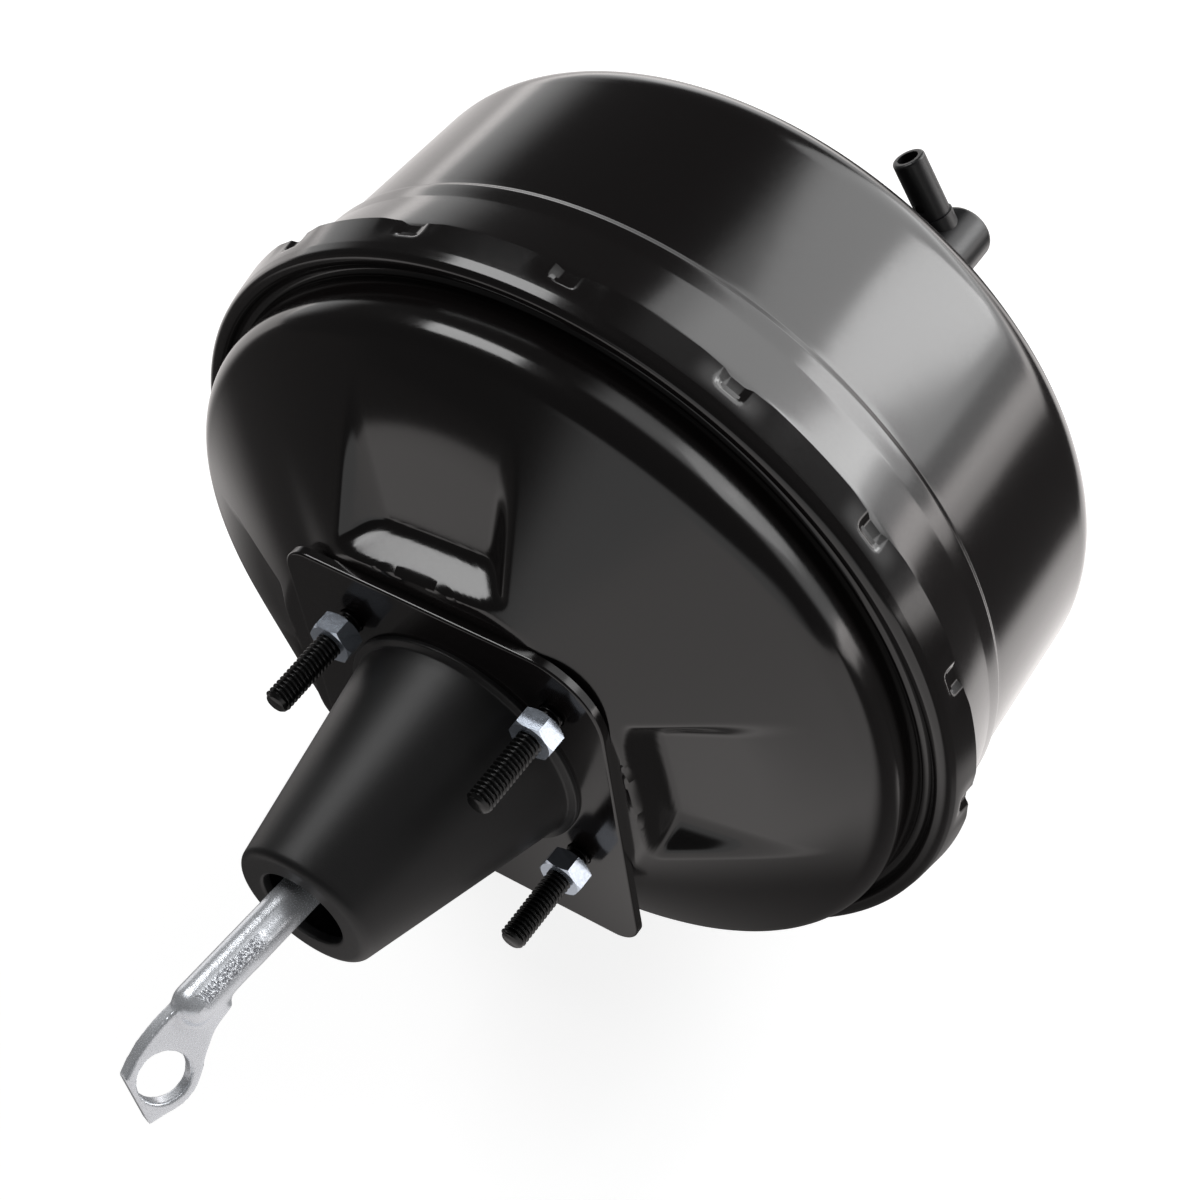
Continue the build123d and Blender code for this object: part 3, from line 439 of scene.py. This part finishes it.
def threaded(name, centres, start, end, node):
    """Threaded rods along Y, from a plain end at start to a chamfered tip at end."""
    verts, faces = [], []
    rows, cols = int(abs(end - start) / THREAD_PITCH * ROWS_PER_TURN), THREAD_SIDES
    facing = 1 if end < start else -1
    for cx, cz in centres:
        base = len(verts)
        last = base + rows * cols
        for i in range(rows + 1):
            y = start + (end - start) * i / rows
            for j in range(cols):
                r = thread_radius(y, j / cols, start, end)
                angle = j / cols * 2 * math.pi
                verts.append((cx + r * math.cos(angle), y, cz + r * math.sin(angle)))
        for low in range(base, last, cols):
            high = low + cols
            for j in range(cols):
                k = (j + 1) % cols
                faces.append((low + j, low + k, high + k, high + j)[::facing])
        faces.append(tuple(range(base, base + cols))[::-facing])
        faces.append(tuple(range(last, last + cols))[::facing])
    mesh_piece(name, verts, faces, "black_plated", node, 50)


threaded("stud_threads", [(i * STUD_X, k * STUD_Z) for i in (-1, 1) for k in (-1, 1)],
         FACE_Y, FACE_Y - STUD_LENGTH, "firewall_studs")
threaded("mc_stud_threads", [(AXIS_X - MC_STUD_X, 0), (AXIS_X + MC_STUD_X, 0)],
         FACE_Y + FRONT_Y, FACE_Y + FRONT_Y + MC_STUD_LENGTH, "mc_studs")

# -------------------------------------------------------- rod, in metres
VOXEL = 0.0004
SOFT_PASSES, WORN_PASSES = 14, 160
WORN_CORNER = Vector((-0.0021, -0.0922, 0.0009))
WORN_REACH, WORN_FADE = 0.0125, 0.004


def bake(obj):
    """Makes an object's modifiers part of its mesh."""
    graph = bpy.context.evaluated_depsgraph_get()
    graph.update()
    mesh = bpy.data.meshes.new_from_object(obj.evaluated_get(graph))
    obj.modifiers.clear()
    obj.data = mesh
    return mesh


def smoothing(obj, name, passes):
    """A modifier that evens out an object's surface."""
    modifier = obj.modifiers.new(name, "SMOOTH")
    modifier.iterations = passes
    modifier.factor = 0.5
    return modifier


def forged_rod():
    """The forged input rod: the solid's shape with soft edges and one corner worn round."""
    obj = bpy.data.objects.new("forged_rod", frame["nodes"]["input_rod"].data.copy())
    bpy.context.collection.objects.link(obj)
    obj.data.materials.clear()
    obj.data.materials.append(MATS["forged_steel"])
    remesh = obj.modifiers.new("remesh", "REMESH")
    remesh.mode = "VOXEL"
    remesh.voxel_size = VOXEL
    smoothing(obj, "soft", SOFT_PASSES)
    mesh = bake(obj)
    worn = obj.vertex_groups.new(name="worn_corner")
    for vertex in mesh.vertices:
        share = (WORN_REACH - (vertex.co - WORN_CORNER).length) / WORN_FADE
        worn.add([vertex.index], max(0.0, min(1.0, share)), "REPLACE")
    smoothing(obj, "wear", WORN_PASSES).vertex_group = "worn_corner"
    mesh = bake(obj)
    obj.vertex_groups.clear()
    mesh.shade_smooth()
    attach(obj, "pushrod")
    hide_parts("input_rod")


forged_rod()

# ---------------------------------------------------------------- camera
CAMERA_PLACE = (0.3192, -0.2840, 0.5435)
CAMERA_TURN = (40.852, 6.2187, 34.239)

cam = bpy.data.cameras.new("camera")
cam.lens = 72.0
cam.sensor_width = 36.0
cam.clip_start = 0.01
cam.clip_end = 20.0
eye = bpy.data.objects.new("camera", cam)
bpy.context.collection.objects.link(eye)
camera_turn = Euler([math.radians(angle) for angle in CAMERA_TURN]).to_matrix().to_4x4()
eye.matrix_world = Matrix.Translation(CAMERA_PLACE) @ camera_turn
bpy.context.scene.camera = eye

# ----------------------------------------------------------------- lamps
MID = Vector((0.0, 0.07, 0.0))


def softbox(name, offset, width, height, power):
    """A rectangular lamp that stands off the booster's middle and faces it."""
    lamp = bpy.data.lights.new(name, "AREA")
    lamp.shape = "RECTANGLE"
    lamp.size = width
    lamp.size_y = height
    lamp.energy = power
    obj = bpy.data.objects.new(name, lamp)
    bpy.context.collection.objects.link(obj)
    lamp_turn = Vector(offset).to_track_quat("Z", "Y").to_matrix().to_4x4()
    obj.matrix_world = Matrix.Translation(MID + Vector(offset)) @ lamp_turn


softbox("light_over", (-0.55, 0.02, 1.05), 0.5, 0.55, 4.6)
softbox("light_strip", (0.74, 0.84, 0.52), 0.28, 0.55, 2.2)
softbox("light_broad", (0.55, 0.95, 0.62), 1.25, 0.95, 7.0)

# ----------------------------------------------------------------- stage
FLOOR_Z, FLOOR_HALF = -0.139, 6
FLOOR_GREY = (0.42, 0.42, 0.42, 1)
FLOOR_GLOW, FLOOR_GLOW_RISE, FLOOR_BOUNCE = 0.86, 0.16, 0.35
WARM_WHITE = (1.0, 0.96, 0.945, 1)

# A patch has its strength, and for each of its soft edges the axis along which it fades in
# and the values where it starts and is full: metres on the floor, directions in the world.
# The floor's patches are for reflections, and the world's are for all rays but the camera's.
FLOOR_FRONT = (0.72, [("X", -0.12, 0.06), ("Y", 0.02, -0.06)])
FLOOR_SWEEP = (0.72, [("X", -0.62, -0.48), ("Y", -0.16, -0.27)])
FLOOR_PATCHES = {
    "corner": (1.4, [("X", 0.02, 0.10), ("X", 0.245, 0.20), ("Y", 0.10, 0.20)]),
    "far_right": (2.2, [("X", 0.75, 0.95), ("Y", 0.3, 0.6)]),
    "left": (0.95, [("X", -0.20, -0.32), ("Y", -0.05, 0.15)]),
    "far_back": (1.3, [("Y", 0.9, 1.6)]),
}
FLOOR_BASE = 0.08
WORLD_PATCHES = {
    "left_back": (0.9, [("Z", 0.32, 0.02), ("X", -0.3, -0.6), ("Y", 0.0, 0.3)]),
    "right_back": (1.0, [("X", -0.05, 0.12), ("Y", 0.2, 0.5), ("Z", -0.3, -0.1)]),
    "front_low": (0.6, [("X", -0.30, -0.12), ("Y", -0.4, -0.8), ("Z", 0.34, 0.16)]),
    "back_low": (1.3, [("Y", 0.68, 0.85), ("Z", 0.30, 0.10)]),
}
WORLD_BASE = 0.06


def patch(tree, axes, strength, edges):
    """Brightness of one patch, from 0 outside its edges to its strength inside them."""
    return times(tree, *[ramp(tree, axes[axis], low, high) for axis, low, high in edges], strength)


def floor_material():
    """White with a soft shadow for the camera, light and dark areas for reflections."""
    mat = bpy.data.materials.new("floor_white")
    mat.use_nodes = True
    tree = mat.node_tree
    tree.nodes.clear()
    place = tree.nodes.new("ShaderNodeTexCoord")
    away = tree.nodes.new("ShaderNodeVectorMath")
    away.operation = "LENGTH"
    tree.links.new(place.outputs["Object"], away.inputs[0])
    rise = times(tree, ramp(tree, away.outputs["Value"], 0.4, 1.2), FLOOR_GLOW_RISE)
    diffuse = tree.nodes.new("ShaderNodeBsdfDiffuse")
    diffuse.inputs["Color"].default_value = FLOOR_GREY
    lit = tree.nodes.new("ShaderNodeAddShader")
    tree.links.new(diffuse.outputs["BSDF"], lit.inputs[0])
    tree.links.new(glow(tree, "ShaderNodeEmission", plus(tree, rise, FLOOR_GLOW)), lit.inputs[1])
    axes = axes_of(tree, "Object")
    front = combine(tree, "MAXIMUM", patch(tree, axes, *FLOOR_FRONT), patch(tree, axes, *FLOOR_SWEEP))
    patches = [patch(tree, axes, *values) for values in FLOOR_PATCHES.values()]
    reflected = glow(tree, "ShaderNodeEmission", plus(tree, front, *patches, FLOOR_BASE), WARM_WHITE)
    bounced = glow(tree, "ShaderNodeEmission", FLOOR_BOUNCE)
    ray = tree.nodes.new("ShaderNodeLightPath").outputs
    surface = mixed(tree, ray["Is Glossy Ray"], lit.outputs["Shader"], reflected)
    surface = mixed(tree, ray["Is Diffuse Ray"], surface, bounced)
    out = tree.nodes.new("ShaderNodeOutputMaterial")
    tree.links.new(surface, out.inputs["Surface"])
    return mat


def stage_floor():
    """Plain pale floor under the object."""
    signs = [(-1, -1), (1, -1), (1, 1), (-1, 1)]
    mesh = bpy.data.meshes.new("floor")
    mesh.from_pydata([(i * FLOOR_HALF, k * FLOOR_HALF, FLOOR_Z) for i, k in signs], [], [(0, 1, 2, 3)])
    floor = bpy.data.objects.new("floor", mesh)
    bpy.context.collection.objects.link(floor)
    mesh.materials.append(floor_material())


def stage_world():
    """White for the camera, light and dark areas for all other rays."""
    world = bpy.data.worlds.new("world")
    bpy.context.scene.world = world
    world.use_nodes = True
    tree = world.node_tree
    tree.nodes.clear()
    axes = axes_of(tree, "Generated")
    patches = [patch(tree, axes, *values) for values in WORLD_PATCHES.values()]
    around = glow(tree, "ShaderNodeBackground", plus(tree, *patches, WORLD_BASE))
    white = glow(tree, "ShaderNodeBackground", 1.0)
    ray = tree.nodes.new("ShaderNodeLightPath").outputs
    out = tree.nodes.new("ShaderNodeOutputWorld")
    tree.links.new(mixed(tree, ray["Is Camera Ray"], around, white), out.inputs["Surface"])


stage_floor()
stage_world()
bpy.context.scene.view_settings.view_transform = "Standard"
